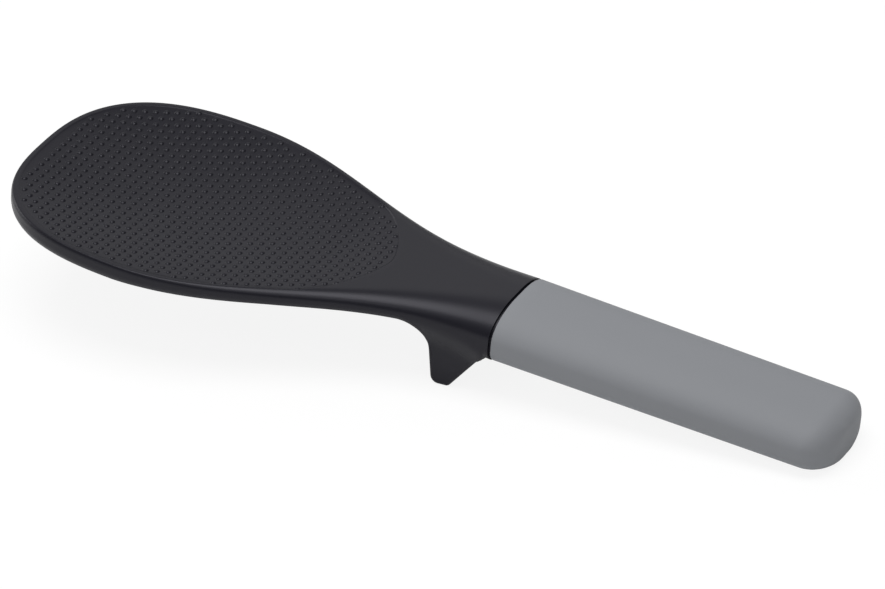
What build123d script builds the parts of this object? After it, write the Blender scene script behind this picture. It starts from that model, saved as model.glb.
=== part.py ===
from build123d import *
import math
import os

# Lengths are in millimetres. The shapes are drawn along the paddle's own axis:
# x runs from the blade's tip to the grip's end, y across, z up from the line along the grip's top.
tool_length = 250.0
grip_length = 99.8
joint_gap = 0.8
joint_groove_depth = 0.8

# Blade
blade_width = 82.9
widest_place = 47.0
tip_squareness = 2.63
flare_power = 3.17
rim_drop = 7.7
rise_power = 1.1
underside_drop = 13.0
underside_rise = 4.5
underside_turn_power = 9
rim_radius = 1.0
underside_radius = 1.4

# Dish in the blade's top
crest_width = 2.3
dish_step = 0.2
dish_across_radius = 215.0
dish_length = 111.4
dish_end_start = 92.0
dish_end_bend = 2.5
dish_end_roundness = 0.7

# Grip
grip_width_front = 31.7
grip_width_rear = 30.6
grip_depth_front = 17.1
grip_depth_rear = 14.4
corner_width_front = 13.2
corner_width_rear = 10.6
top_corner_front = 7.3
top_corner_rear = 6.2
low_corner_front = 6.8
low_corner_rear = 5.2
end_turn_length = 8.0
end_turn_width = 10.5
end_lip_length = 6.2
end_lip_top = 4.6
end_lip_bottom = 2.0

# Foot under the neck
rest_tilt = 7.5
foot_front = 129.6
foot_front_lean = 2.2
foot_sole_length = 5.4
foot_rear_top = 147.2
foot_rear_top_drop = 14.2
foot_top_width = 28.6
foot_top_drop = 7.0
foot_sole_width = 26.4
foot_corner_radius = 1.2
foot_toe_radius = 2.4
foot_heel_radius = 1.4
foot_front_blend = 9.5
foot_blend_overlap = 0.3

# Parts inside the grip
tang_width = 20.0
tang_depth = 8.0
tang_length = 66.0
tang_drop = 7.6
slide_clearance = 0.1
weight_length = 24.0
weight_corner_radius = 1.0

head_length = tool_length - grip_length
neck_length = head_length - widest_place
half_blade = blade_width / 2
half_grip = grip_width_front / 2


def half_width(x):
    """Half of the head's width at a distance from the tip."""
    if x < widest_place:
        share = (widest_place - x) / widest_place
        return half_blade * (1 - share**tip_squareness) ** (1 / tip_squareness)
    share = (x - widest_place) / neck_length
    return half_grip + (half_blade - half_grip) * (1 - share**2) ** flare_power


def top_height(x):
    """Height of the head's top face, below zero by the rim's drop over the blade."""
    if x < widest_place:
        return -rim_drop
    share = (x - widest_place) / neck_length
    return -rim_drop * (1 - share**2) ** rise_power


def underside_height(x):
    """Height of the head's underside: it rises towards the neck and drops to meet the grip."""
    if x < widest_place:
        return -underside_drop
    share = (x - widest_place) / neck_length
    turn = min(1, (x - widest_place) / (foot_rear_top - widest_place)) ** underside_turn_power
    end_drop = grip_depth_front - underside_drop + underside_rise
    return -underside_drop + underside_rise * share - end_drop * turn


def head_corners(x):
    """Width and height of the upper, then of the lower elliptical corner of the head's section."""
    share = max(0, (x - widest_place) / neck_length)
    return (
        rim_radius + (corner_width_front - rim_radius) * share**2,
        rim_radius + (top_corner_front - rim_radius) * share**2,
        underside_radius + (corner_width_front - underside_radius) * share**6,
        underside_radius + (low_corner_front - underside_radius) * share**6,
    )


def cross_section(x, half, top, bottom, corners):
    """Upright section across the paddle at x, with an elliptical corner at each side."""
    top_across, top_high, low_across, low_high = corners
    upper = top - top_high
    lower = bottom + low_high
    quarters = (
        ((half - low_across, lower), low_across, low_high, -90),
        ((half - top_across, upper), top_across, top_high, 0),
        ((top_across - half, upper), top_across, top_high, 90),
        ((low_across - half, lower), low_across, low_high, 180),
    )
    arcs = [EllipticalCenterArc(*quarter, arc_size=90) for quarter in quarters]
    outline = []
    for arc, following in zip(arcs, arcs[1:] + arcs[:1]):
        outline += [arc, Line(arc @ 1, following @ 0)]
    plane = Plane(origin=(x, 0, 0), x_dir=(0, 1, 0), z_dir=(1, 0, 0))
    return plane * make_face(Curve() + outline)


def head_section(x):
    return cross_section(x, half_width(x), top_height(x), underside_height(x), head_corners(x))


def above_trough(places, floors, across_radius):
    """Space above a trough: one parabola across, carried along a bowed floor line."""
    bend = 1 / (2 * across_radius)
    reach = blade_width
    sections = []
    for x, floor in zip(places, floors):
        plane = Plane(origin=(x, 0, 0), x_dir=(0, 1, 0), z_dir=(1, 0, 0))
        edge_height = floor + bend * reach**2
        high = rim_drop + bend * reach**2
        floor_line = Bezier((-reach, edge_height), (0, 2 * floor - edge_height), (reach, edge_height))
        frame_lines = Polyline((reach, edge_height), (reach, high), (-reach, high), (-reach, edge_height))
        sections.append(plane * make_face(Curve() + [floor_line, frame_lines]))
    return loft(sections)


def front_edge(inset):
    """One side of the blade's tip seen from above, drawn in by an inset."""
    points = [(inset, 0)]
    for share in (0.004, 0.03, 0.1, 0.22, 0.4, 0.65, 1):
        rise = (1 - (1 - share) ** tip_squareness) ** (1 / tip_squareness)
        points.append((inset + (widest_place - inset) * share, (half_blade - inset) * rise))
    return Spline(*points, tangents=[(0, 1), (1, 0)])


def tip_plan():
    """Outline of the blade's tip half, seen from above."""
    edge = front_edge(0)
    return make_face(Curve() + [edge, mirror(edge, Plane.XZ), Line(edge @ 1, (widest_place, -half_blade))])


def blade_front():
    """Tip half of the blade, up to its widest place: a flat slab with rounded edges."""
    slab = extrude(Pos(0, 0, -underside_drop) * tip_plan(), underside_drop - rim_drop)
    for height, radius in ((-rim_drop, rim_radius), (-underside_drop, underside_radius)):
        level = slab.edges().filter_by_position(Axis.Z, height, height)
        rim = level.filter_by(lambda edge: edge.geom_type != GeomType.LINE)
        slab = fillet(rim, radius)
    return slab


def blade_rear_and_neck():
    """Flare from the blade's widest place into the neck, as one skin through sections."""
    reach = neck_length - joint_gap
    shares = (0, 0.13, 0.27, 0.41, 0.55, 0.68, 0.78, 0.86, 0.92, 0.96, 1)
    return loft([head_section(widest_place + reach * share) for share in shares])


def dish_half_width(x):
    """Half of the dish's width: the head's less the crest, closed to a round end at the neck."""
    share = max(0, x - dish_end_start) / (dish_length - dish_end_start)
    return (half_width(x) - crest_width) * (1 - share**dish_end_bend) ** dish_end_roundness


def dish_tool():
    """Space above the dish's floor, which leaves a small step at the dish's edge."""
    shares = (0, 0.015, 0.06, 0.14, 0.27, 0.4, 0.54, 0.68, 0.8, 0.89, 0.95, 1)
    places = [crest_width + (dish_length - crest_width) * share for share in shares]
    bend = 1 / (2 * dish_across_radius)
    floors = [top_height(x) - dish_step - bend * dish_half_width(x) ** 2 for x in places]
    places = [-2 * crest_width] + places + [dish_length + 2 * crest_width]
    floors = [dish_step - rim_drop] + floors + [top_height(dish_length) + dish_step]
    return above_trough(places, floors, dish_across_radius)


def dish_plan():
    """The dish's edge seen from above, as an upright block."""
    front = front_edge(crest_width)
    places = [widest_place + (dish_length - widest_place) * share
              for share in (0, 0.2, 0.4, 0.6, 0.75, 0.87, 0.94, 0.98)]
    rear_points = [(x, dish_half_width(x)) for x in places] + [(dish_length, 0)]
    rear = Spline(*rear_points, tangents=[(1, 0), (0, -1)])
    sides = [front, rear, mirror(rear, Plane.XZ), mirror(front, Plane.XZ)]
    return extrude(Pos(0, 0, -underside_drop) * make_face(Curve() + sides), 2 * underside_drop)


def between(front, rear, x):
    """A grip size at x, for a size that changes evenly from the joint to the grip's end."""
    return front + (rear - front) * (x - head_length) / grip_length


def end_turn(x, length):
    """Share of a quarter ellipse's turn at x, from 0 where the turn starts to 1 at the end."""
    share = max(0, (x - tool_length) / length + 1)
    return 1 - math.sqrt(1 - min(1, share) ** 2)


def grip_bottom(x):
    """Height of the grip's underside."""
    return end_lip_bottom * end_turn(x, end_lip_length) - between(grip_depth_front, grip_depth_rear, x)


def grip_section(x):
    """The grip's section at x; over its end it gets narrower and flatter in an even way."""
    full_half = between(grip_width_front, grip_width_rear, x) / 2
    full_depth = between(grip_depth_front, grip_depth_rear, x)
    half = full_half - end_turn_width * end_turn(x, end_turn_length)
    top = -end_lip_top * end_turn(x, end_lip_length)
    bottom = grip_bottom(x)
    across = between(corner_width_front, corner_width_rear, x) * half / full_half
    lower = (top - bottom) / full_depth
    top_high = between(top_corner_front, top_corner_rear, x) * lower
    low_high = between(low_corner_front, low_corner_rear, x) * lower
    return cross_section(x, half, top, bottom, (across, top_high, across, low_high))


def ground_height(x):
    """Height of the worktop under x: the sloping line that just touches the grip's end."""
    slope = math.tan(math.radians(rest_tilt))
    places = [tool_length - end_lip_length * share / 400 for share in range(401)]
    return min(grip_bottom(place) + slope * (x - place) for place in places)


def foot():
    """Wedge under the neck: upright front face, sloping back, sole level with the worktop."""
    sole_front = foot_front + foot_front_lean
    sole_rear = sole_front + foot_sole_length
    low = ground_height(sole_front)
    blend_start = foot_front - 1.5 * foot_front_blend
    blend_height = underside_height(foot_front - foot_front_blend) + foot_blend_overlap
    side_view = make_face(
        Polyline(
            (blend_start, -foot_top_drop),
            (blend_start, blend_height),
            (foot_front, blend_height),
            (sole_front, low),
            (sole_rear, ground_height(sole_rear)),
            (foot_rear_top, -foot_rear_top_drop),
            (foot_rear_top, -foot_top_drop),
            close=True,
        )
    )
    inner_corner = side_view.vertices().sort_by_distance((foot_front, blend_height, 0))[0]
    side_view = fillet(inner_corner, foot_front_blend)
    toe = side_view.vertices().sort_by_distance((sole_front, low, 0))[0]
    side_view = fillet(toe, foot_toe_radius)
    heel = side_view.vertices().sort_by_distance((sole_rear, ground_height(sole_rear), 0))[0]
    side_view = fillet(heel, foot_heel_radius)
    body = extrude(Plane.XZ * side_view, foot_top_width, both=True)
    front_view = Plane.YZ * make_face(
        Polyline(
            (-foot_top_width / 2, -foot_top_drop),
            (-foot_sole_width / 2, low),
            (foot_sole_width / 2, low),
            (foot_top_width / 2, -foot_top_drop),
            close=True,
        )
    )
    body &= extrude(front_view, tool_length)
    cheeks = body.faces().filter_by(lambda face: abs(face.normal_at().Y) > 0.7)
    rounded = [
        edge
        for edge in cheeks.edges()
        if (edge @ 0.5).Z < blend_height + foot_blend_overlap
        and (edge @ 0.5).X < foot_rear_top - foot_heel_radius
    ]
    return fillet(rounded, foot_corner_radius)


def head():
    """Blade, neck and foot in one moulding, with a flat tang that runs into the grip."""
    body = blade_front() + blade_rear_and_neck()
    body += foot()
    body -= dish_tool() & dish_plan()
    corners = [size - joint_groove_depth for size in head_corners(head_length)]
    collar = cross_section(
        head_length - joint_gap,
        half_grip - joint_groove_depth,
        -joint_groove_depth,
        joint_groove_depth - grip_depth_front,
        corners,
    )
    body += extrude(collar, joint_gap)
    tang = Pos(head_length + tang_length / 2 - joint_gap / 2, 0, -tang_drop) * Box(
        tang_length + joint_gap, tang_width, tang_depth
    )
    return body + tang


def grip():
    """Closed sleeve with soft edges; one straight pocket takes the weight and the tang."""
    turn_start = tool_length - end_turn_length
    turns = [math.pi / 2 * share / 8 for share in range(9)]
    end = [turn_start + end_turn_length * math.sin(turn) for turn in turns]
    block = loft([grip_section(head_length), grip_section(turn_start)])
    block += loft([grip_section(x) for x in end])
    pocket_length = tang_length + weight_length
    pocket = Pos(head_length + pocket_length / 2, 0, -tang_drop) * Box(
        pocket_length, tang_width + 2 * slide_clearance, tang_depth + 2 * slide_clearance
    )
    return block - pocket


def counterweight():
    """Steel slug at the blind end of the grip's pocket, held there by the tang."""
    slug = Box(weight_length, tang_width, tang_depth)
    slug = fillet(slug.edges().filter_by(Axis.X), weight_corner_radius)
    middle = head_length + tang_length + weight_length / 2
    return Pos(middle, 0, -tang_drop) * slug


nodes = {"head": head(), "grip": grip(), "counterweight": counterweight()}

# The paddle is turned to its resting pose, and the origin goes under the middle of its box.
rested = {name: Rot(0, rest_tilt, 0) * shape.solid() for name, shape in nodes.items()}
boxes = [solid.bounding_box() for solid in rested.values()]
middle_x = (min(box.min.X for box in boxes) + max(box.max.X for box in boxes)) / 2
floor_z = min(box.min.Z for box in boxes)
os.makedirs("parts", exist_ok=True)
for name, solid in rested.items():
    placed = Pos(-middle_x, 0, -floor_z) * solid
    placed.label = name
    print(name, placed.is_valid, round(placed.volume), placed.bounding_box())
    export_step(placed, f"parts/{name}.step")
print("origin in drawing axes", middle_x, floor_z)
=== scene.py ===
import math

import bmesh
import bpy
import numpy as np
from mathutils import Matrix, Vector


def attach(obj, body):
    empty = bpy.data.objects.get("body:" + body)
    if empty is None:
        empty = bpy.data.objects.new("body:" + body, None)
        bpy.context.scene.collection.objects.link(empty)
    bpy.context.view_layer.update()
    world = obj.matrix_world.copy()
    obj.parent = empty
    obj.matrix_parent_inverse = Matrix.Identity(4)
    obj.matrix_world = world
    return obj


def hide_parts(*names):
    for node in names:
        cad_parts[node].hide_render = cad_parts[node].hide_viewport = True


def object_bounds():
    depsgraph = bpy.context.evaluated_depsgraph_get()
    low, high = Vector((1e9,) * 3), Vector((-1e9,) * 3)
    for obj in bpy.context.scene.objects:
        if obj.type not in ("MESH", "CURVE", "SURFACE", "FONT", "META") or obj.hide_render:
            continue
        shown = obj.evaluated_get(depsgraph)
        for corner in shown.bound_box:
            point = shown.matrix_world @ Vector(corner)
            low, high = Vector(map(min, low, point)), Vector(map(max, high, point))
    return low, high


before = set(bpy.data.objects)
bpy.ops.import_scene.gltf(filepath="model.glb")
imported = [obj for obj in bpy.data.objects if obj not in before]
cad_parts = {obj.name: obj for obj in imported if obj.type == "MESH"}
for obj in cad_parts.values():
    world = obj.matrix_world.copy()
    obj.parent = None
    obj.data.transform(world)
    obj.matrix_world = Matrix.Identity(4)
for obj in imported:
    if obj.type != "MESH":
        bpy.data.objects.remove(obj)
cad_low, cad_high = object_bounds()

# Lengths are in metres. The shapes are drawn along the paddle's own axis: x from the blade's tip
# to the grip's end, y across, z up from the line along the grip's top.
tool_length = 0.2500
grip_length = 0.0998
joint_gap = 0.0008
joint_groove_depth = 0.0008
joint_edge_radius = 0.0003

# Blade
blade_width = 0.0829
widest_place = 0.0470
tip_squareness = 2.63
flare_power = 3.17
rim_drop = 0.0077
rise_power = 1.1
underside_drop = 0.0130
underside_rise = 0.0045
underside_turn_power = 9
upper_corner_power = 2
lower_corner_power = 6
rim_across = 0.0007
rim_high = 0.0013
underside_across = 0.0014
underside_high = 0.0026
corner_depth_share = 0.96
corner_fit_power = 16

# Dish in the blade's top
crest_width = 0.0015
crest_width_rear = 0.0023
dish_step = 0.00008
dish_step_rear = 0.00034
dish_step_run = 0.0008
dish_across_radius = 0.2150
dish_length = 0.1114
dish_end_start = 0.0920
dish_end_bend = 2.5
dish_end_roundness = 0.7

# Grip
grip_width_front = 0.0317
grip_width_rear = 0.0306
grip_depth_front = 0.0171
grip_depth_rear = 0.0144
corner_width_front = 0.0132
corner_width_rear = 0.0106
top_corner_front = 0.0073
top_corner_rear = 0.0062
low_corner_front = 0.0068
low_corner_rear = 0.0052
end_turn_length = 0.0080
end_turn_width = 0.0105
end_lip_length = 0.0062
end_lip_top = 0.0046
end_lip_bottom = 0.0020

# Foot under the neck
rest_tilt = 7.5
foot_front = 0.1296
foot_front_lean = 0.0022
foot_sole_length = 0.0054
foot_rear_top = 0.1472
foot_rear_top_drop = 0.0142
foot_top_width = 0.0286
foot_top_drop = 0.0070
foot_sole_width = 0.0264
foot_corner_radius = 0.0012
foot_toe_radius = 0.0024
foot_heel_radius = 0.0014
foot_front_blend = 0.0095
foot_rear_blend = 0.0010
foot_side_blend = 0.0090
foot_corner_blend = 0.0050
foot_rear_run = 0.0018

# Parts inside the grip
tang_width = 0.0200
tang_depth = 0.0080
tang_length = 0.0660
tang_drop = 0.0076
slide_clearance = 0.0001
weight_length = 0.0240

# Pips on the dish
pip_pitch_along = 0.0026344
pip_pitch_across = 0.0030085
pip_first_row = 0.0053338
pip_radius = 0.00088
pip_height = 0.00042
pip_edge_margin = 0.0009
pip_dome_power = 2.4
pip_sides = 14
pip_ring_shares = (1.0, 0.94, 0.82, 0.64, 0.38)
pip_margin_checks = 16

# Where the skin's grid turns from one form to the next
foot_zone_start = 0.1050
dish_turn_start = 0.1010
dish_turn_end = 0.1200
middle_front = 0.0220
middle_rear = 0.0920
foot_row_share = 0.6

# Numbers of points on the curves that a skin is drawn from, then of its rows and their points
chain_points = 3000
curve_points = 1200
lip_points = 401
slope_points = 400
dish_end_points = 600
section_arc_points = 90
section_run_points = 40
blend_arc_points = 60
blade_row_count = 160
foot_row_count = 150
grip_row_count = 25
grip_end_row_count = 22
edge_arc_row_count = 5
dish_step_points = 7
dish_floor_points = 28
over_points = 23
side_points = 17
under_points = 25
over_bunching = 1.8
under_bunching = 2.2

# How a skin's mesh is closed and shaded
merge_distance = 0.000001
sliver_length = 0.0000001
sharp_angle = 50
bar_end_shares = (0.5, 0)
grip_end_shares = (0.85, 0.6, 0.3, 0)

# Surfaces
nylon_colour = (0.0102, 0.0099, 0.0148)
nylon_sheen = (0.93, 0.92, 1)
grip_colour = (0.270, 0.279, 0.298)
steel_colour = (0.55, 0.55, 0.56)
grain_depth = 0.00002

# Floor: its tone in the light it gives the paddle, and its tone and glow as the camera sees it,
# then the light of the room around it and the white of the background
floor_tone = 0.80
floor_bounce = 0.12
floor_seen_tone = 0.14
floor_glow = 0.88
floor_reach = 4.0
room_strength = 0.18
backdrop_strength = 1

# Lamps, with their directions in degrees
lamps = {
    "overhead": dict(azimuth=0, elevation=84, distance=1.3, width=1.0, height=0.8, radiance=4.5),
    "front": dict(azimuth=20, elevation=50, distance=1.5, width=0.9, height=0.5, radiance=1.4),
    "back": dict(azimuth=210, elevation=33, distance=1.6, width=1.8, height=0.9, radiance=0.6),
    "left": dict(azimuth=268, elevation=20, distance=1.6, width=1.0, height=0.8, radiance=2.4),
}

# Camera, in the resting frame
camera_aim = (0.0019685, -0.0000861, 0.0203927)
camera_azimuth = 29.5528
camera_elevation = 31.2384
camera_roll = 2.7006
camera_distance = 1.960443
camera_lens = 292.816
camera_near = 0.01
camera_far = 100

head_length = tool_length - grip_length
head_end = head_length - joint_gap
neck_length = head_length - widest_place
half_blade = blade_width / 2
half_grip = grip_width_front / 2

# Shares at which the points of a row are spread over its top, its side and its underside.
over_shares = 1 - (1 - np.linspace(0, 1, over_points)) ** over_bunching
side_shares = np.linspace(0, 1, side_points)[1:-1]
under_shares = np.linspace(0, 1, under_points) ** under_bunching


def smooth(share):
    """An even ramp from 0 to 1 with level ends."""
    share = np.clip(share, 0, 1)
    return share * share * (3 - 2 * share)


def neck_share(x):
    """Share of the way from the blade's widest place to the joint."""
    return np.clip((x - widest_place) / neck_length, 0, 1)


def half_width(x):
    """Half of the head's width at distances from the tip."""
    tip = np.clip((widest_place - x) / widest_place, 0, 1)
    front = half_blade * (1 - tip**tip_squareness) ** (1 / tip_squareness)
    rear = half_grip + (half_blade - half_grip) * (1 - neck_share(x) ** 2) ** flare_power
    return np.where(x < widest_place, front, rear)


def top_height(x):
    """Height of the head's top face, below zero by the rim's drop over the blade."""
    return -rim_drop * (1 - neck_share(x) ** 2) ** rise_power


def underside_height(x):
    """Height of the head's underside: it rises towards the neck and drops to meet the grip."""
    turn = np.clip((x - widest_place) / (foot_rear_top - widest_place), 0, 1)
    end_drop = grip_depth_front - underside_drop + underside_rise
    return -underside_drop + underside_rise * neck_share(x) - end_drop * turn**underside_turn_power


def head_corners(x):
    """Width and height of the upper, then of the lower elliptical corner of the head's section.
    The heights are eased down where both would take up more than the section's depth."""
    upper = neck_share(x) ** upper_corner_power
    lower = neck_share(x) ** lower_corner_power
    upper_high = rim_high + (top_corner_front - rim_high) * upper
    lower_high = underside_high + (low_corner_front - underside_high) * lower
    room = corner_depth_share * (top_height(x) - underside_height(x))
    fit = (1 + ((upper_high + lower_high) / room) ** corner_fit_power) ** (-1 / corner_fit_power)
    return np.array([
        rim_across + (corner_width_front - rim_across) * upper,
        upper_high * fit,
        underside_across + (corner_width_front - underside_across) * lower,
        lower_high * fit,
    ])


def dish_half_width(x):
    """Half of the dish's width: the head's less the crest, closed to a round end at the neck."""
    crest = crest_width + (crest_width_rear - crest_width) * rear_share(x)
    tip = np.clip((widest_place - x) / (widest_place - crest_width), 0, 1)
    front = (half_blade - crest_width) * (1 - tip**tip_squareness) ** (1 / tip_squareness)
    share = np.clip((x - dish_end_start) / (dish_length - dish_end_start), 0, 1)
    rear = (half_width(x) - crest) * (1 - share**dish_end_bend) ** dish_end_roundness
    return np.where(x < widest_place, front, rear)


def rear_share(x):
    """Even ramp along the dish, from 0 at the blade's widest place to 1 where its end starts."""
    return smooth((x - widest_place) / (dish_end_start - widest_place))


def dish_edge_height(x):
    """Height of the dish's edge, which dips where the edge runs over the neck's round shoulder."""
    across, high = head_corners(x)[:2]
    margin = half_width(x) - dish_half_width(x)
    inside = np.where(x < widest_place, 0, np.clip(1 - margin / across, 0, 1))
    return top_height(x) - high * (1 - np.sqrt(1 - inside**2))


def dish_floor(x, y):
    """Height of the dish's floor: a shallow bowl, a small step below the edge."""
    half = half_blade - crest_width
    tip = np.clip((widest_place - x) / (widest_place - crest_width), 0, 1)
    reach = (tip**tip_squareness + (np.abs(y) / half) ** tip_squareness) ** (2 / tip_squareness)
    front = half**2 * (1 - reach)
    rear = dish_half_width(x) ** 2 - y**2
    bowl = np.where(x < widest_place, front, rear) / (2 * dish_across_radius)
    step = dish_step + (dish_step_rear - dish_step) * rear_share(x)
    return dish_edge_height(x) - step - bowl


def between(front, rear, x):
    """A grip size at x, for a size that changes evenly from the joint to the grip's end."""
    return front + (rear - front) * (x - head_length) / grip_length


def end_turn(x, length):
    """Share of a quarter ellipse's turn at x, from 0 where the turn starts to 1 at the end."""
    return 1 - np.sqrt(1 - np.clip((x - tool_length) / length + 1, 0, 1) ** 2)


def grip_bottom(x):
    """Height of the grip's underside."""
    depth = between(grip_depth_front, grip_depth_rear, x)
    return end_lip_bottom * end_turn(x, end_lip_length) - depth


def ground_height(x):
    """Height of the worktop under x: the sloping line that just touches the grip's end."""
    slope = math.tan(math.radians(rest_tilt))
    places = tool_length - end_lip_length * np.linspace(0, 1, lip_points)
    return float(np.min(grip_bottom(places) - slope * places) + slope * x)


def drawing_origin():
    """Where the drawing's origin lies at rest: the worktop is at z 0, and the upper lip of the
    grip's end reaches the frame's far side."""
    tilt = math.radians(rest_tilt)
    angles = np.linspace(0, math.pi / 2, lip_points)
    lip_x = tool_length - end_lip_length * (1 - np.sin(angles))
    lip_z = -end_lip_top * (1 - np.cos(angles))
    reach = float(np.max(lip_x * math.cos(tilt) + lip_z * math.sin(tilt)))
    return np.array([cad_high[0] - reach, 0, -ground_height(0) * math.cos(tilt)])


def resting(points, origin):
    """Turns points of the drawing's frame to the resting pose."""
    tilt = math.radians(rest_tilt)
    along_axis = (math.cos(tilt), 0, math.sin(tilt))
    upward = (-math.sin(tilt), 0, math.cos(tilt))
    turn = np.array([along_axis, (0, 1, 0), upward])
    return np.asarray(points) @ turn.T + origin


def along(points):
    """Length travelled along a chain of points."""
    steps = np.linalg.norm(np.diff(points, axis=0), axis=1)
    return np.concatenate([[0], np.cumsum(steps)])


def at_lengths(points, lengths):
    """Points at the given lengths along a chain."""
    travelled = along(points)
    return np.stack([np.interp(lengths, travelled, c) for c in points.T], axis=1)


def at_shares(points, shares):
    """Points at the given shares of a chain's whole length."""
    return at_lengths(points, shares * along(points)[-1])


def rounded_corner(before, corner, after, radius):
    """Points of the arc that rounds a corner between two straight runs."""
    to_before = (before - corner) / np.linalg.norm(before - corner)
    to_after = (after - corner) / np.linalg.norm(after - corner)
    half_angle = math.acos(to_before @ to_after) / 2
    middle = to_before + to_after
    centre = corner + middle / np.linalg.norm(middle) * radius / math.sin(half_angle)
    start = corner + to_before * radius / math.tan(half_angle) - centre
    end = corner + to_after * radius / math.tan(half_angle) - centre
    turn = math.pi - 2 * half_angle
    shares = np.linspace(0, 1, blend_arc_points)[:, None]
    arc = np.sin((1 - shares) * turn) * start + np.sin(shares * turn) * end
    return centre + arc / math.sin(turn)


def level_line(height):
    """A line of one height, as a function of the places along it."""
    return lambda places: np.full(len(places), height)


def straight_run(start, end, count):
    """Points from one place towards another, without the last one."""
    return start + (end - start) * np.linspace(0, 1, count)[:-1, None]


def skin_row(edge, rim, inward, top, start, normal, middle, bottom, corners, side=None):
    """One row of half a skin: from the top's inner edge over the rim, down the side and in to
    the middle below. Edge, rim, inward and middle are seen from above, normal from the side."""
    top_across, top_high, low_across, low_high = corners
    reach = (edge - rim) @ inward
    first = math.asin(1 - reach / top_across) if reach < top_across else 0
    angles = np.linspace(first, math.pi / 2, section_arc_points)
    plan = rim + inward * top_across * (1 - np.sin(angles))[:, None]
    heights = top(plan[:, 0]) - top_high * (1 - np.cos(angles))
    over = np.column_stack([plan, heights])
    if reach > top_across:
        run = straight_run(edge, plan[0], section_run_points)
        over = np.concatenate([np.column_stack([run, top(run[:, 0])]), over])
    over = at_shares(over, over_shares)
    wall = over[-1] + (start - over[-1]) * side_shares[:, None]
    if side:
        wall[:, 1] = [side(x, z) for x, _, z in wall]
    angles = np.linspace(0, math.pi / 2, section_arc_points)[:, None]
    inwards = np.array([*inward, 0]) * low_across
    downwards = np.array([-normal[0], 0, -normal[1]]) * low_high
    under = start + inwards * (1 - np.cos(angles)) + downwards * np.sin(angles)
    run = straight_run(middle, under[-1, :2], section_run_points)[::-1]
    under = np.concatenate([under, np.column_stack([run, bottom(run[:, 0])])])
    return np.concatenate([over, wall, at_shares(under, under_shares)])


def cross_section(x, half, top, bottom, corners):
    """Half of an upright section at x as a row of a skin."""
    return skin_row(
        np.array([x, 0]),
        np.array([x, half]),
        np.array([0, -1]),
        level_line(top),
        np.array([x, half, bottom + corners[3]]),
        (0, 1),
        np.array([x, 0]),
        level_line(bottom),
        corners,
    )


def outline_chain():
    """The head's half outline from the tip to the joint, with the direction of each row inwards."""
    angle = np.linspace(0, math.pi / 2, curve_points)
    tip_x = widest_place * (1 - np.cos(angle) ** (2 / tip_squareness))
    tip_y = half_blade * np.sin(angle) ** (2 / tip_squareness)
    rear_x = np.linspace(widest_place, head_end, curve_points)[1:]
    chain = np.column_stack([np.append(tip_x, rear_x), np.append(tip_y, half_width(rear_x))])
    chain = at_shares(chain, np.linspace(0, 1, chain_points))
    tangent = np.gradient(chain, axis=0)
    tangent /= np.linalg.norm(tangent, axis=1)[:, None]
    tangent[0] = (0, 1)
    tangent[chain[:, 0] > widest_place] = (1, 0)
    return chain, np.column_stack([tangent[:, 1], -tangent[:, 0]])


def lower_chain():
    """Side view of the head's lowest line, from in front of the foot to the joint."""
    sole_front = foot_front + foot_front_lean
    sole_rear = sole_front + foot_sole_length
    slope_x = np.linspace(sole_rear, foot_rear_top, slope_points)
    slope_z = np.linspace(ground_height(sole_rear), -foot_rear_top_drop, slope_points)
    notch = int(np.argmax(slope_z >= underside_height(slope_x)))
    blend_x = foot_front - foot_front_blend
    level = float(underside_height(blend_x))
    corners = [
        (blend_x, level, 0),
        (foot_front, level, foot_front_blend),
        (sole_front, ground_height(sole_front), foot_toe_radius),
        (sole_rear, ground_height(sole_rear), foot_heel_radius),
        (slope_x[notch], slope_z[notch], foot_rear_blend),
        (head_end, float(underside_height(head_end)), 0),
    ]
    places = [np.array(corner[:2]) for corner in corners]
    neck_x = np.linspace(foot_zone_start, blend_x, blend_arc_points)
    chain = [np.column_stack([neck_x, underside_height(neck_x)])]
    for i in range(1, len(corners) - 1):
        chain.append(rounded_corner(*places[i - 1:i + 2], corners[i][2]))
    chain.append(places[-1][None])
    return np.concatenate(chain), slope_x[notch]


def foot_side(x, z):
    """Half width of the neck and foot at x and height z: below the neck it draws in to the cheek."""
    corner = underside_height(x) + head_corners(x)[3]
    neck = float(half_width(x))
    drop = (-foot_top_drop - z) / (-foot_top_drop - ground_height(foot_front))
    cheek = foot_top_width / 2 + (foot_sole_width - foot_top_width) / 2 * drop
    return neck + (cheek - neck) * float(smooth((corner - z) / foot_side_blend))


def inner_edge(rim):
    """Inner end of each row's top: on the dish's edge, then on the middle line behind the dish."""
    x = rim[:, 0]
    turn = int(np.argmax(x >= dish_turn_end))
    tip_x = widest_place + (x - widest_place) * (widest_place - crest_width) / widest_place
    tip_y = rim[:, 1] * (half_blade - crest_width) / half_blade
    front = np.column_stack([tip_x, tip_y])
    side = np.column_stack([x, dish_half_width(x)])
    angles = np.linspace(0, math.pi / 2, dish_end_points)
    end_x = dish_turn_start + (dish_length - dish_turn_start) * np.sin(angles)
    end_y = dish_half_width(end_x)
    end_y[-1] = 0
    shares = np.clip((x - dish_turn_start) / (x[turn] - dish_turn_start), 0, 1)
    end = at_shares(np.column_stack([end_x, end_y]), shares)
    rest = np.clip((x - x[turn]) / (x[-1] - x[turn]), 0, 1)
    middle = np.column_stack([dish_length + rest * (x[-1] - dish_length), 0 * x])
    edge = np.where((x < widest_place)[:, None], front, side)
    edge = np.where((x > dish_turn_start)[:, None], end, edge)
    edge[turn + 1:] = middle[turn + 1:]
    return edge, turn


def blade_row(rim, edge, inward, share):
    """One row over the blade and the plain part of the neck."""
    corners = head_corners(rim[0])
    low = float(underside_height(rim[0]))
    middle_x = middle_front + (foot_zone_start - middle_front) * share
    start = np.array([*rim, low + corners[3]])
    middle = np.array([middle_x, 0])
    return skin_row(edge, rim, inward, top_height, start, (0, 1), middle, underside_height, corners)


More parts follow.
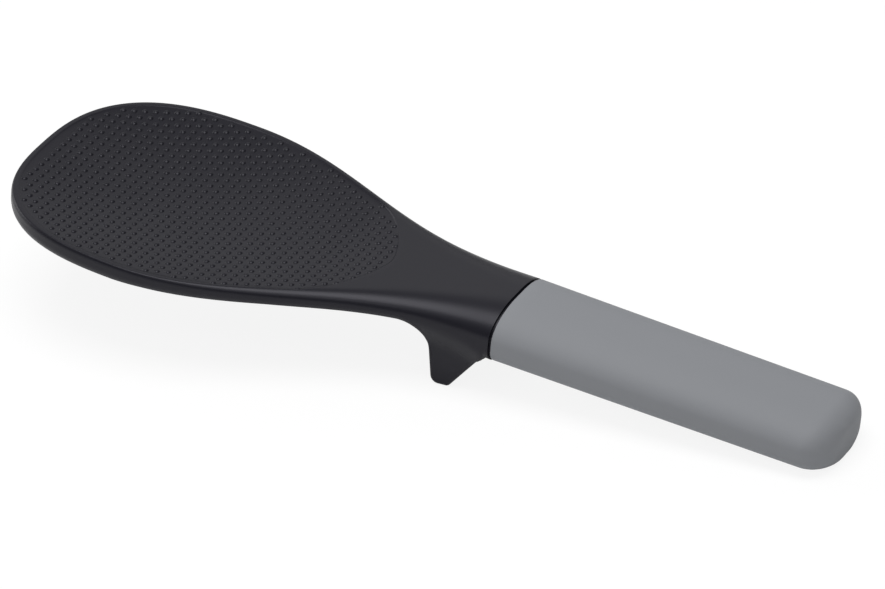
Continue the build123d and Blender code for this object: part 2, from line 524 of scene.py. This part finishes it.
def foot_row(rim, edge, inward, place, direction, notch_x):
    """One row over the neck and the foot, whose lower end stands square to the lowest line."""
    corners = head_corners(place[0])
    depth = float(underside_height(place[0])) - place[1]
    foot = float(smooth(depth / foot_corner_blend))
    if place[0] > foot_front + foot_front_lean:
        foot = 1 - float(smooth((place[0] - notch_x) / foot_rear_run))
    corners[2:] += (foot_corner_radius - corners[2:]) * foot
    corners[:2] = head_corners(rim[0])[:2]
    if place[0] >= notch_x:
        direction = direction * (1, (head_end - place[0]) / (head_end - notch_x))
    normal = np.array([-direction[1], direction[0]]) / np.linalg.norm(direction)
    centre = place + normal * corners[3]
    start = np.array([centre[0], foot_side(*centre), centre[1]])
    middle = np.array([place[0], 0])
    low = level_line(place[1])
    return skin_row(edge, rim, inward, top_height, start, normal, middle, low, corners, foot_side)


def head_rows():
    """Rows of half of the head's outside from the tip to the joint, and the dish's edge."""
    chain, inward = outline_chain()
    travelled = along(chain)
    zone_start = np.interp(foot_zone_start, chain[:, 0], travelled)
    blade_lengths = np.linspace(0, zone_start, blade_row_count)[:-1]
    lower, notch_x = lower_chain()
    lower = at_shares(lower, np.linspace(0, 1, foot_row_count))
    lower[:, 0] = np.minimum(lower[:, 0], head_end)
    slope = np.gradient(lower, axis=0)
    slope /= np.linalg.norm(slope, axis=1)[:, None]
    even_x = np.linspace(foot_zone_start, head_end, foot_row_count)
    zone_x = foot_row_share * lower[:, 0] + (1 - foot_row_share) * even_x
    lengths = np.append(blade_lengths, np.interp(zone_x, chain[:, 0], travelled))
    rim = at_lengths(chain, lengths)
    inside = np.stack([np.interp(lengths, travelled, c) for c in inward.T], axis=1)
    inside /= np.linalg.norm(inside, axis=1)[:, None]
    edge, turn = inner_edge(rim)
    blade_count = len(blade_lengths)
    rows = []
    for i in range(blade_count):
        rows.append(blade_row(rim[i], edge[i], inside[i], i / blade_count))
    for i, place, direction in zip(range(blade_count, len(rim)), lower, slope):
        rows.append(foot_row(rim[i], edge[i], inside[i], place, direction, notch_x))
    return rows, np.array([row[0] for row in rows[:turn + 1]])


def head_end_rows():
    """Rows behind the neck: its rounded end, the groove's collar and the tang."""
    corners = head_corners(head_end)

    def inset_section(x, inset):
        half = half_width(head_end) - inset
        top = top_height(head_end) - inset
        bottom = underside_height(head_end) + inset
        return cross_section(x, half, top, bottom, corners - inset)

    rows = []
    for angle in np.linspace(0, math.pi / 2, edge_arc_row_count)[1:]:
        inset = joint_edge_radius * (1 - math.cos(angle))
        rows.append(inset_section(head_end - joint_edge_radius * (1 - math.sin(angle)), inset))
    rows.append(inset_section(head_end, joint_groove_depth))
    rows.append(inset_section(head_length, joint_groove_depth))
    rows += [bar_section(x, 0) for x in (head_length, head_length + tang_length)]
    return rows


def bar_section(x, clearance):
    """Section of the tang, or of the pocket that takes it."""
    half = tang_width / 2 + clearance
    half_depth = tang_depth / 2 + clearance
    return cross_section(x, half, half_depth - tang_drop, -half_depth - tang_drop, np.zeros(4))


def dish_rows(edge):
    """Rows of half of the dish: a soft step below the edge, then the floor to the middle line."""
    tangent = np.gradient(edge[:, :2], axis=0)
    tangent /= np.linalg.norm(tangent, axis=1)[:, None]
    tangent[0] = (0, 1)
    tangent[-1] = (0, -1)
    rows = []
    for i, point in enumerate(edge):
        inward = np.array([tangent[i, 1], -tangent[i, 0]])
        middle_x = middle_front + (middle_rear - middle_front) * i / (len(edge) - 1)
        wall = point[:2] + inward * dish_step_run * np.linspace(0, 1, dish_step_points)[:, None]
        floor = straight_run(np.array([middle_x, 0]), wall[-1], dish_floor_points)[::-1]
        plan = np.concatenate([wall, floor])
        blend = smooth(np.minimum(1, np.arange(len(plan)) / (len(wall) - 1)))
        heights = point[2] + (dish_floor(plan[:, 0], plan[:, 1]) - point[2]) * blend
        rows.append(np.column_stack([plan, heights]))
    return rows


def grip_section(x, inset=0):
    """The grip's section at x; over its end it gets narrower and flatter in an even way."""
    full_half = between(grip_width_front, grip_width_rear, x) / 2
    full_depth = between(grip_depth_front, grip_depth_rear, x)
    half = full_half - end_turn_width * end_turn(x, end_turn_length)
    top = -end_lip_top * end_turn(x, end_lip_length)
    bottom = grip_bottom(x)
    across = between(corner_width_front, corner_width_rear, x) * half / full_half
    lower = (top - bottom) / full_depth
    top_high = between(top_corner_front, top_corner_rear, x) * lower
    low_high = between(low_corner_front, low_corner_rear, x) * lower
    corners = np.array([across, top_high, across, low_high]) - inset
    return cross_section(x, half - inset, top - inset, bottom + inset, corners)


def grip_rows():
    """Rows of half of the grip: out of the pocket, over its front edge and on to its end."""
    pocket_end = head_length + tang_length + weight_length
    rows = [bar_section(x, slide_clearance) for x in (pocket_end, head_length)]
    for angle in np.linspace(0, math.pi / 2, edge_arc_row_count)[:-1]:
        x = head_length + joint_edge_radius * (1 - math.cos(angle))
        rows.append(grip_section(x, joint_edge_radius * (1 - math.sin(angle))))
    turn_start = tool_length - end_turn_length
    for x in np.linspace(head_length + joint_edge_radius, turn_start, grip_row_count):
        rows.append(grip_section(x))
    for angle in np.linspace(0, math.pi / 2, grip_end_row_count)[1:]:
        rows.append(grip_section(turn_start + end_turn_length * math.sin(angle)))
    return rows


def closing_rows(row, shares):
    """Rows that close a skin's end: the last row drawn in to the middle of its section."""
    middle = np.array([row[0, 0], 0, (row[0, 2] + row[-1, 2]) / 2])
    return [middle + (row - middle) * share for share in shares]


def half_grid(rows, flip):
    """Vertices and quads of a grid given as rows of points, and of its mirror image."""
    points = np.concatenate(rows)
    width = len(rows[0])
    vertices = np.concatenate([points, points * (1, -1, 1)])
    faces = []
    for mirrored in (False, True):
        for r in range(len(rows) - 1):
            for c in range(width - 1):
                first = r * width + c + mirrored * len(points)
                quad = (first, first + 1, first + width + 1, first + width)
                faces.append(quad[::-1] if mirrored != flip else quad)
    return vertices, faces


def new_piece(name, grids, material):
    """A piece made of grids drawn in the paddle's own frame, closed and laid to rest."""
    origin = drawing_origin()
    vertices = []
    faces = []
    for points, quads in grids:
        faces += [tuple(len(vertices) + v for v in quad) for quad in quads]
        placed = np.clip(resting(points, origin), np.array(cad_low), np.array(cad_high))
        vertices += [tuple(place) for place in placed]
    mesh = bpy.data.meshes.new(name)
    mesh.from_pydata(vertices, [], faces)
    body = bmesh.new()
    body.from_mesh(mesh)
    bmesh.ops.remove_doubles(body, verts=body.verts, dist=merge_distance)
    bmesh.ops.dissolve_degenerate(body, edges=body.edges, dist=sliver_length)
    bmesh.ops.recalc_face_normals(body, faces=body.faces)
    body.to_mesh(mesh)
    body.free()
    mesh.polygons.foreach_set("use_smooth", [True] * len(mesh.polygons))
    mesh.set_sharp_from_angle(angle=math.radians(sharp_angle))
    piece = bpy.data.objects.new(name, mesh)
    bpy.context.scene.collection.objects.link(piece)
    mesh.materials.append(material)
    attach(piece, "root")
    return piece


def head_skin(material):
    """Blade, neck and foot as one smooth skin, with the collar and tang behind the joint."""
    outside, edge = head_rows()
    outside += head_end_rows()
    outside += closing_rows(outside[-1], bar_end_shares)
    grids = [half_grid(outside, False), half_grid(dish_rows(edge), True)]
    piece = new_piece("head_skin", grids, material)
    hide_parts("head")


def grip_skin(material):
    """The grip's soft sleeve with the pocket for the tang and the weight."""
    rows = grip_rows()
    pocket_end = closing_rows(rows[0], bar_end_shares)[::-1]
    rows = pocket_end + rows + closing_rows(rows[-1], grip_end_shares)
    piece = new_piece("grip_skin", [half_grid(rows, False)], material)
    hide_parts("grip")


def pip_places():
    """Centres of the pips: staggered rows that stop clear of the dish's edge."""
    angles = np.linspace(0, 2 * math.pi, pip_margin_checks, endpoint=False)
    around = pip_edge_margin * np.column_stack([np.cos(angles), np.sin(angles)])
    reach = int(half_blade / pip_pitch_across) + 1
    places = []
    for row in range(int((dish_length - pip_first_row) / pip_pitch_along) + 1):
        shift = row % 2 / 2
        along_dish = pip_first_row + row * pip_pitch_along
        for step in range(-reach, reach + 1):
            place = np.array([along_dish, (step + shift) * pip_pitch_across])
            x, y = (place + around).T
            if np.all((x > crest_width) & (x < dish_length) & (np.abs(y) < dish_half_width(x))):
                places.append(place)
    return places


def blade_pips(material):
    """Small raised domes that follow the dish's floor, each closed underneath."""
    shares = np.array(pip_ring_shares)
    angles = np.linspace(0, 2 * math.pi, pip_sides, endpoint=False)
    ring = np.column_stack([np.cos(angles), np.sin(angles)])
    offsets = np.concatenate([share * ring for share in shares] + [np.zeros((1, 2))])
    rises = np.concatenate([np.repeat(1 - shares**pip_dome_power, pip_sides), [1]])
    faces = []
    for r in range(len(shares) - 1):
        for side in range(pip_sides):
            first = r * pip_sides + side
            second = r * pip_sides + (side + 1) % pip_sides
            faces.append((first, second, second + pip_sides, first + pip_sides))
    last = (len(shares) - 1) * pip_sides
    top = last + pip_sides
    faces += [(last + side, last + (side + 1) % pip_sides, top) for side in range(pip_sides)]
    faces.append(tuple(range(pip_sides))[::-1])
    grids = []
    for place in pip_places():
        plan = place + offsets * pip_radius
        heights = dish_floor(plan[:, 0], plan[:, 1]) + rises * pip_height
        grids.append((np.column_stack([plan, heights]), faces))
    new_piece("blade_pips", grids, material)


def principled(name, colour, roughness, specular):
    """A plain surface of one colour, and its shader."""
    material = bpy.data.materials.new(name)
    material.use_nodes = True
    shader = material.node_tree.nodes["Principled BSDF"]
    shader.inputs["Base Color"].default_value = (*colour, 1)
    shader.inputs["Roughness"].default_value = roughness
    shader.inputs["Specular IOR Level"].default_value = specular
    return material, shader


def grain(material, shader, scale, strength, colour, spread):
    """Fine moulded grain: bump and a slight change of tone from one noise."""
    nodes = material.node_tree.nodes
    links = material.node_tree.links
    place = nodes.new("ShaderNodeTexCoord")
    noise = nodes.new("ShaderNodeTexNoise")
    noise.inputs["Scale"].default_value = scale
    noise.inputs["Detail"].default_value = 3
    bump = nodes.new("ShaderNodeBump")
    bump.inputs["Strength"].default_value = strength
    bump.inputs["Distance"].default_value = grain_depth
    ramp = nodes.new("ShaderNodeValToRGB")
    ramp.color_ramp.elements[0].color = (*[c * (1 - spread) for c in colour], 1)
    ramp.color_ramp.elements[1].color = (*[c * (1 + spread) for c in colour], 1)
    links.new(place.outputs["Object"], noise.inputs["Vector"])
    links.new(noise.outputs["Fac"], bump.inputs["Height"])
    links.new(noise.outputs["Fac"], ramp.inputs["Fac"])
    links.new(bump.outputs["Normal"], shader.inputs["Normal"])
    links.new(ramp.outputs["Color"], shader.inputs["Base Color"])


def black_nylon():
    """Satin moulded nylon with a faint cool sheen."""
    material, shader = principled("black_nylon", nylon_colour, roughness=0.36, specular=0.30)
    shader.inputs["Specular Tint"].default_value = (*nylon_sheen, 1)
    grain(material, shader, scale=3500, strength=0.12, colour=nylon_colour, spread=0.10)
    return material


def grey_soft_touch():
    """The grip's matt rubbery skin."""
    material, shader = principled("grey_soft_touch", grip_colour, roughness=0.62, specular=0.30)
    grain(material, shader, scale=4500, strength=0.10, colour=grip_colour, spread=0.02)
    return material


def steel():
    """Sawn and tumbled steel."""
    material, shader = principled("steel", steel_colour, roughness=0.34, specular=0.5)
    shader.inputs["Metallic"].default_value = 1
    grain(material, shader, scale=2500, strength=0.2, colour=steel_colour, spread=0.08)
    return material


def counterweight(material):
    """The steel slug at the blind end of the grip's pocket."""
    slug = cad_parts["counterweight"].data
    slug.materials.clear()
    slug.materials.append(material)


def grey(tone):
    """A colour without hue."""
    return (tone, tone, tone, 1)


def floor_stage():
    """The white worktop, which keeps the paddle's shadow."""
    corners = [(x * floor_reach, y * floor_reach, 0) for x, y in ((-1, -1), (1, -1), (1, 1), (-1, 1))]
    mesh = bpy.data.meshes.new("floor")
    mesh.from_pydata(corners, [], [(0, 1, 2, 3)])
    floor = bpy.data.objects.new("floor", mesh)
    bpy.context.scene.collection.objects.link(floor)
    material = bpy.data.materials.new("floor")
    material.use_nodes = True
    nodes = material.node_tree.nodes
    links = material.node_tree.links
    shader = nodes["Principled BSDF"]
    shader.inputs["Roughness"].default_value = 1
    shader.inputs["Specular IOR Level"].default_value = 0
    shader.inputs["Emission Color"].default_value = grey(1)
    rays = nodes.new("ShaderNodeLightPath")
    gain = nodes.new("ShaderNodeMix")
    gain.inputs["A"].default_value = floor_bounce
    gain.inputs["B"].default_value = floor_glow
    tone = nodes.new("ShaderNodeMix")
    tone.data_type = "RGBA"
    tone.inputs["A"].default_value = grey(floor_tone)
    tone.inputs["B"].default_value = grey(floor_seen_tone)
    links.new(rays.outputs["Is Camera Ray"], gain.inputs["Factor"])
    links.new(rays.outputs["Is Camera Ray"], tone.inputs["Factor"])
    links.new(tone.outputs["Result"], shader.inputs["Base Color"])
    links.new(gain.outputs["Result"], shader.inputs["Emission Strength"])
    mesh.materials.append(material)


def softbox(name, azimuth, elevation, distance, width, height, radiance):
    """Rectangular lamp aimed at the paddle. Azimuth 0 is in front of it, on the -y side."""
    data = bpy.data.lights.new(name, "AREA")
    data.shape = "RECTANGLE"
    data.size = width
    data.size_y = height
    data.energy = math.pi * width * height * radiance
    lamp = bpy.data.objects.new(name, data)
    bpy.context.scene.collection.objects.link(lamp)
    back = direction(azimuth, elevation)
    lamp.location = back * distance
    lamp.rotation_mode = "QUATERNION"
    lamp.rotation_quaternion = (-back).to_track_quat("-Z", "Y")


def direction(azimuth, elevation):
    """The way from the paddle towards an azimuth and an elevation given in degrees."""
    a, e = math.radians(azimuth), math.radians(elevation)
    return Vector((math.sin(a) * math.cos(e), -math.cos(a) * math.cos(e), math.sin(e)))


def world_light():
    """Dim white surroundings behind which the background is seen as plain white."""
    world = bpy.data.worlds.new("studio")
    bpy.context.scene.world = world
    world.use_nodes = True
    nodes = world.node_tree.nodes
    links = world.node_tree.links
    room = nodes["Background"]
    room.inputs["Color"].default_value = grey(1)
    room.inputs["Strength"].default_value = room_strength
    backdrop = nodes.new("ShaderNodeBackground")
    backdrop.inputs["Color"].default_value = grey(1)
    backdrop.inputs["Strength"].default_value = backdrop_strength
    rays = nodes.new("ShaderNodeLightPath")
    mix = nodes.new("ShaderNodeMixShader")
    links.new(rays.outputs["Is Camera Ray"], mix.inputs["Fac"])
    links.new(room.outputs["Background"], mix.inputs[1])
    links.new(backdrop.outputs["Background"], mix.inputs[2])
    links.new(mix.outputs["Shader"], nodes["World Output"].inputs["Surface"])


def camera():
    """The viewpoint: it looks at the aim from an azimuth and an elevation, slightly rolled."""
    data = bpy.data.cameras.new("camera")
    data.lens = camera_lens
    data.clip_start = camera_near
    data.clip_end = camera_far
    viewer = bpy.data.objects.new("camera", data)
    bpy.context.scene.collection.objects.link(viewer)
    back = direction(camera_azimuth, camera_elevation)
    azimuth = math.radians(camera_azimuth)
    right = Vector((math.cos(azimuth), math.sin(azimuth), 0))
    up = back.cross(right)
    roll = math.radians(camera_roll)
    image_right = right * math.cos(roll) - up * math.sin(roll)
    image_up = right * math.sin(roll) + up * math.cos(roll)
    turn = Matrix((image_right, image_up, back)).transposed()
    place = Vector(camera_aim) + back * camera_distance
    viewer.matrix_world = Matrix.LocRotScale(place, turn.to_quaternion(), None)
    bpy.context.scene.camera = viewer


nylon = black_nylon()
head_skin(nylon)
blade_pips(nylon)
grip_skin(grey_soft_touch())
counterweight(steel())
floor_stage()
world_light()
for lamp_name, lamp_values in lamps.items():
    softbox(lamp_name, **lamp_values)
camera()
bpy.context.scene.view_settings.view_transform = "Standard"
